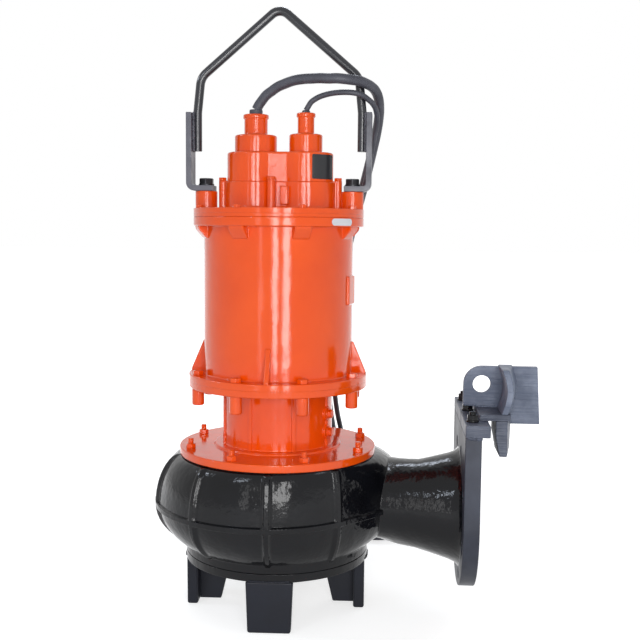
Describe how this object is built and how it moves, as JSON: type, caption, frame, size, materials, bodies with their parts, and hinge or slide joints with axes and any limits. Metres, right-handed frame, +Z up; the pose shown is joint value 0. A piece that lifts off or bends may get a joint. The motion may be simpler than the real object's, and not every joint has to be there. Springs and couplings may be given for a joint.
{
  "type": "submersible sewage pump",
  "caption": "Submersible sewage pump with an enclosed channel impeller, oil-filled seal chamber, side discharge flange, guide claw, leg stand and lifting bar.",
  "frame": {"origin": "on the pump's axis at floor level, under the legs", "axes": "+Z up along the shaft, +X out along the discharge branch, -Y the side seen in the picture"},
  "size_m": [0.7088, 0.7737, 1.0879],
  "materials": {
    "orange_paint": "gloss",
    "black_paint": "gloss",
    "blue_grey_paint": "satin",
    "black_bar_paint": "satin",
    "bracket_steel": "satin",
    "dark_steel": "satin",
    "machined_steel": "satin",
    "bearing_steel": "polished",
    "cast_grey": "matte",
    "impeller_iron": "matte",
    "core_steel": "satin",
    "cast_aluminium": "matte",
    "copper_winding": "satin",
    "bronze": "satin",
    "brass_studs": "satin",
    "board": "matte",
    "lead_sheath": "matte",
    "black_plate": "gloss",
    "silver_tag": "satin",
    "cable_rubber": "matte",
    "seal_rubber": "matte",
    "seal_face": "satin",
    "seal_carbon": "satin"
  },
  "bodies": {
    "housing": {"support_legs": "blue_grey_paint", "suction_cover": "black_paint", "suction_bolts": "dark_steel", "wear_ring": "bronze", "volute_casing": "black_paint", "claw_ledge": "blue_grey_paint", "guide_claw": "blue_grey_paint", "claw_bolts": "dark_steel", "oil_housing": "orange_paint", "cover_studs": "orange_paint", "oil_plugs": "orange_paint", "motor_frame": "orange_paint", "frame_bolts": "orange_paint", "lower_bearing_housing": "cast_grey", "lower_bearing_cap": "cast_grey", "cap_screws": "dark_steel", "upper_bearing_bracket": "orange_paint", "top_cover": "orange_paint", "top_cover_bolts": "orange_paint", "terminal_box": "orange_paint", "terminal_box_screws": "orange_paint", "terminal_board": "board", "terminal_studs": "brass_studs", "power_gland": "orange_paint", "power_grommet": "cable_rubber", "control_gland": "orange_paint", "control_grommet": "cable_rubber", "lift_brackets": "bracket_steel", "lift_bar": "black_bar_paint", "lift_bolts": "dark_steel", "nameplate": "black_plate", "flange_tag": "silver_tag", "stator_core": "core_steel", "stator_windings": "copper_winding", "motor_leads": "lead_sheath", "supply_leads": "lead_sheath", "o_rings": "seal_rubber", "seal_seats": "seal_face", "oil_probe": "machined_steel", "lower_bearing_outer": "bearing_steel", "upper_bearing_outer": "bearing_steel", "power_cable": "cable_rubber", "control_cable": "cable_rubber", "power_coil": "cable_rubber", "control_coil": "cable_rubber", "power_cable_end": "cable_rubber", "control_cable_end": "cable_rubber"},
    "rotor": {"shaft": "machined_steel", "rotor_core": "core_steel", "rotor_cage": "cast_aluminium", "shaft_keys": "machined_steel", "impeller": "impeller_iron", "impeller_bolt": "machined_steel", "lower_bearing_inner": "bearing_steel", "upper_bearing_inner": "bearing_steel", "seal_rings": "seal_carbon", "seal_spring": "machined_steel"},
    "lower_ball_set": {"lower_bearing_balls": "bearing_steel"},
    "upper_ball_set": {"upper_bearing_balls": "bearing_steel"}
  },
  "joints": [
    {"name": "rotor_spin", "type": "hinge", "parent": "housing", "child": "rotor", "pos_m": [0, 0, 0.45], "axis": [0, 0, 1], "continuous": true},
    {"name": "lower_balls_spin", "type": "hinge", "parent": "housing", "child": "lower_ball_set", "pos_m": [0, 0, 0.4425], "axis": [0, 0, 1], "continuous": true},
    {"name": "upper_balls_spin", "type": "hinge", "parent": "housing", "child": "upper_ball_set", "pos_m": [0, 0, 0.7035], "axis": [0, 0, 1], "continuous": true}
  ],
  "couplings": [
    {"joint": "lower_balls_spin", "follows": "rotor_spin", "ratio": 0.4029},
    {"joint": "upper_balls_spin", "follows": "rotor_spin", "ratio": 0.4}
  ]
}
